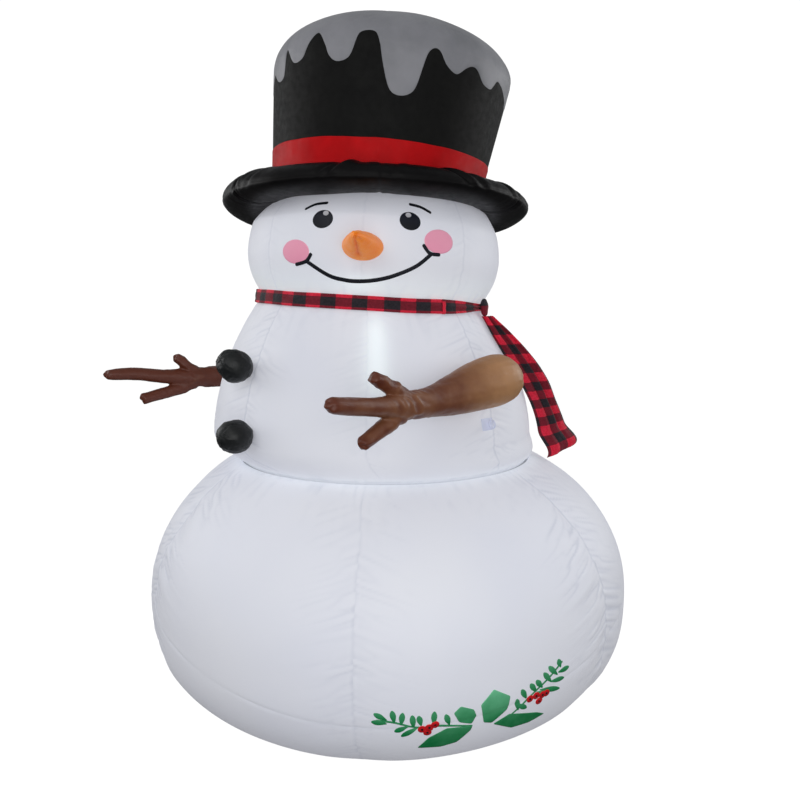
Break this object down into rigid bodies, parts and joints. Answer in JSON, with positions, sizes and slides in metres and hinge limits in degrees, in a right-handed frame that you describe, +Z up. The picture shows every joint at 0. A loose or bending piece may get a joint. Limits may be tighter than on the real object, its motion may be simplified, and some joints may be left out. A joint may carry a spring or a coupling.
{
  "type": "inflatable yard snowman",
  "caption": "Fan-blown cloth snowman with a top hat, carrot nose, twig arms, button puffs and a plaid scarf, lit from inside, standing on its own base.",
  "frame": {"origin": "on the ground, below the middle of the base ball", "axes": "+Z up to the hat's top; the fan is towards +Y and the face towards -Y; +X is the snowman's own left, where the scarf's tail hangs"},
  "size_m": [1.9356, 1.9227, 2.4236],
  "materials": {
    "white_cloth": "semi-gloss coated nylon, lit from inside",
    "grey_lining": "matt coated cloth",
    "black_cloth": "semi-gloss cloth",
    "black_satin": "satin cloth",
    "snow_cloth": "semi-gloss cloth, grey-white",
    "red_cloth": "semi-gloss cloth",
    "orange_cloth": "satin cloth",
    "brown_satin": "satin cloth",
    "plaid_cloth": "soft brushed cloth in red and black checks",
    "webbing": "woven strap",
    "fan_plastic": "black moulded plastic",
    "steel": "bare metal",
    "lamp_plastic": "clear-white lamp cover"
  },
  "bodies": {
    "base": {"base_ball": "white_cloth", "base_bowl": "white_cloth", "base_floor": "grey_lining", "waist_baffle": "grey_lining", "fan_sleeve": "grey_lining", "fan_duct": "fan_plastic", "fan_grille": "fan_plastic", "fan_stand": "fan_plastic", "fan_motor": "steel", "power_inlet": "fan_plastic", "cord_lock": "fan_plastic", "sleeve_drawstring": "webbing", "grille_screw_1": "steel", "grille_screw_2": "steel", "grille_screw_3": "steel", "grille_screw_4": "steel", "zipper_tape": "grey_lining", "ballast_bag_left": "grey_lining", "ballast_bag_right": "grey_lining", "ground_tab_1": "webbing", "ground_tab_2": "webbing", "ground_tab_3": "webbing", "ground_tab_4": "webbing", "lamp_base": "lamp_plastic", "lead_base": "fan_plastic"},
    "torso": {"torso_skin": "white_cloth", "neck_baffle": "grey_lining", "button_upper": "black_cloth", "button_lower": "black_cloth", "scarf_band": "plaid_cloth", "scarf_keeper": "plaid_cloth", "scarf_knot": "plaid_cloth", "tether_loop_left": "webbing", "tether_loop_right": "webbing", "tether_loop_back": "webbing", "tether_patch_left": "white_cloth", "tether_patch_right": "white_cloth", "tether_patch_back": "white_cloth", "lamp_torso": "lamp_plastic", "lead_torso": "fan_plastic"},
    "head": {"head_skin": "white_cloth", "carrot_nose": "orange_cloth", "hat_brim": "black_satin", "hat_crown": "black_cloth", "hat_band": "red_cloth", "hat_top": "snow_cloth", "lamp_head": "lamp_plastic", "lead_head": "fan_plastic"},
    "left_arm": {"left_arm": "brown_satin"},
    "right_arm": {"right_arm": "brown_satin"},
    "scarf_tail": {"scarf_tail": "plaid_cloth"},
    "fan_rotor": {"fan_rotor": "fan_plastic", "fan_shaft": "steel"},
    "zipper_slider": {"zipper_slider": "steel"}
  },
  "joints": [
    {"name": "waist_twist", "type": "hinge", "parent": "base", "child": "torso", "pos_m": [-0.012, 0, 0.922], "axis": [0, 0, 1], "range_deg": [-15, 15], "stiffness_Nm_per_rad": 20},
    {"name": "neck_twist", "type": "hinge", "parent": "torso", "child": "head", "pos_m": [-0.059, 0, 1.482], "axis": [0.0523, 0, 0.9986], "range_deg": [-20, 20], "stiffness_Nm_per_rad": 15},
    {"name": "left_arm_swing", "type": "hinge", "parent": "torso", "child": "left_arm", "pos_m": [0.27354, -0.3963, 1.238], "axis": [0.5996, -0.7146, 0.3604], "range_deg": [-12, 12], "stiffness_Nm_per_rad": 25},
    {"name": "right_arm_swing", "type": "hinge", "parent": "torso", "child": "right_arm", "pos_m": [-0.39552, 0.40105, 1.238], "axis": [-0.5996, 0.7146, 0.3604], "range_deg": [-12, 12], "stiffness_Nm_per_rad": 25},
    {"name": "scarf_tail_swing", "type": "hinge", "parent": "torso", "child": "scarf_tail", "pos_m": [0.34002, -0.16121, 1.425], "axis": [-0.3746, -0.9272, 0], "range_deg": [0, 25]},
    {"name": "fan_spin", "type": "hinge", "parent": "base", "child": "fan_rotor", "pos_m": [0, 0.871, 0.1], "axis": [0, 1, 0], "continuous": true},
    {"name": "zipper_slide", "type": "hinge", "parent": "base", "child": "zipper_slider", "pos_m": [0, 0, 0.22], "axis": [0, 0, 1], "range_deg": [0, 29]}
  ]
}
